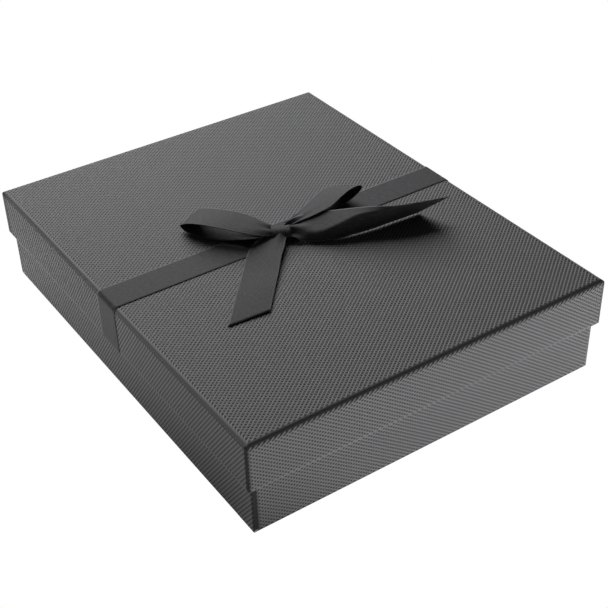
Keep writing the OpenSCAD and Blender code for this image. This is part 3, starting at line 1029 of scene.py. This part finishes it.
class GIFTBOX_OT_set_stage(bpy.types.Operator):
    """Sets a pale floor, soft light and the camera"""
    bl_idname = "giftbox.set_stage"
    bl_label = "Set the stage"

    def execute(self, context):
        scene = context.scene
        stage = settings().stage
        bm = bmesh.new()
        bmesh.ops.create_grid(bm, x_segments=2, y_segments=2, size=FLOOR_REACH)
        mesh = bpy.data.meshes.new("floor")
        bm.to_mesh(mesh)
        bm.free()
        floor = bpy.data.objects.new("floor", mesh)
        scene.collection.objects.link(floor)
        material, tree, shader = new_material("floor_white")
        cloud = noise_node(tree, object_coordinates(tree), 1.5, 2.0, 0.5)
        seen = tree.nodes.new("ShaderNodeLightPath").outputs["Is Camera Ray"]
        pale = mix_colour(tree, cloud, (0.80, 0.80, 0.80), (0.84, 0.84, 0.84))
        tree.links.new(mix_colour(tree, seen, pale, (0.0, 0.0, 0.0)), shader.inputs["Base Color"])
        shader.inputs["Roughness"].default_value = 0.9
        shader.inputs["Specular IOR Level"].default_value = 0.0
        shader.inputs["Emission Color"].default_value = (1.0, 1.0, 1.0, 1.0)
        place = tree.nodes.new("ShaderNodeSeparateXYZ")
        tree.links.new(object_coordinates(tree), place.inputs[0])
        across, along = place.outputs["X"], place.outputs["Y"]
        round_corner = math_node(tree, "SUBTRACT", across, along)
        front = spread(tree, round_corner, *CORNER_BLEND, 0.0, 1.0)
        front_glow = spread(tree, across, TRAY_LOW.x, TRAY_HIGH.x, *FRONT_GLOW)
        left_glow = spread(tree, along, TRAY_LOW.y, TRAY_HIGH.y, *LEFT_GLOW)
        glow = math_node(tree, "MULTIPLY", stage.floor_glow, math_node(
            tree, "ADD", left_glow, math_node(
                tree, "MULTIPLY", front, math_node(tree, "SUBTRACT", front_glow, left_glow))))
        unseen = math_node(tree, "MULTIPLY", glow, math_node(tree, "SUBTRACT", 1.0, seen))
        tree.links.new(math_node(tree, "ADD", unseen, math_node(tree, "MULTIPLY", seen, SEEN_GLOW)),
                       shader.inputs["Emission Strength"])
        mesh.materials.append(material)

        world = bpy.data.worlds.new("surround")
        world.use_nodes = True
        sky = world.node_tree
        background = sky.nodes["Background"]
        background.inputs["Color"].default_value = (1, 1, 1, 1)
        seen = sky.nodes.new("ShaderNodeLightPath").outputs["Is Camera Ray"]
        sky.links.new(math_node(sky, "MAXIMUM", seen, stage.surround), background.inputs["Strength"])
        scene.world = world

        key = bpy.data.lights.new("key", "AREA")
        key.energy = stage.key_power
        key.shape = "RECTANGLE"
        key.size, key.size_y = KEY_SIZE
        lamp = bpy.data.objects.new("key", key)
        lamp.location = KEY_PLACE
        lamp.rotation_euler = (Vector((0, 0, 0)) - lamp.location).to_track_quat("-Z", "Y").to_euler()
        scene.collection.objects.link(lamp)

        camera = bpy.data.cameras.new("camera")
        camera.lens = CAMERA_LENS
        camera.sensor_width = 36.0
        camera.clip_start = 0.01
        holder = bpy.data.objects.new("camera", camera)
        right, up = Vector(CAMERA_RIGHT), Vector(CAMERA_UP)
        axes = Matrix((right, up, right.cross(up))).transposed().to_4x4()
        holder.matrix_world = Matrix.Translation(CAMERA_PLACE) @ axes
        scene.collection.objects.link(holder)
        scene.camera = holder
        scene.view_settings.view_transform = "Standard"
        return {"FINISHED"}


class GIFTBOX_PT_panel(bpy.types.Panel):
    """Lists the gift box's settings and pieces"""
    bl_idname = "GIFTBOX_PT_panel"
    bl_label = "Gift box"
    bl_space_type = "VIEW_3D"
    bl_region_type = "UI"
    bl_category = "Gift box"

    def draw(self, context):
        layout = self.layout
        box = context.scene.gift_box
        for title, group in (("Paper", box.paper), ("Ribbon", box.ribbon), ("Stage", box.stage)):
            column = layout.column(align=True)
            column.label(text=title)
            for name in group.__annotations__:
                column.prop(group, name)
        for operator in OPERATORS:
            layout.operator(operator.bl_idname)


OPERATORS = (
    GIFTBOX_OT_set_stage, GIFTBOX_OT_cover_lid, GIFTBOX_OT_cover_tray, GIFTBOX_OT_finish_boards,
    GIFTBOX_OT_lay_band, GIFTBOX_OT_make_loops, GIFTBOX_OT_make_tails, GIFTBOX_OT_make_knot,
)
CLASSES = (PaperSettings, RibbonSettings, StageSettings, GiftBoxSettings, *OPERATORS, GIFTBOX_PT_panel)


def register():
    for made in CLASSES:
        bpy.utils.register_class(made)
    bpy.types.Scene.gift_box = PointerProperty(type=GiftBoxSettings)


def unregister():
    del bpy.types.Scene.gift_box
    for made in reversed(CLASSES):
        bpy.utils.unregister_class(made)


def main():
    register()
    bpy.ops.giftbox.set_stage()
    bpy.ops.giftbox.cover_lid()
    bpy.ops.giftbox.cover_tray()
    bpy.ops.giftbox.finish_boards()
    bpy.ops.giftbox.lay_band()
    bpy.ops.giftbox.make_loops()
    bpy.ops.giftbox.make_tails()
    bpy.ops.giftbox.make_knot()


if __name__ == "__main__":
    main()
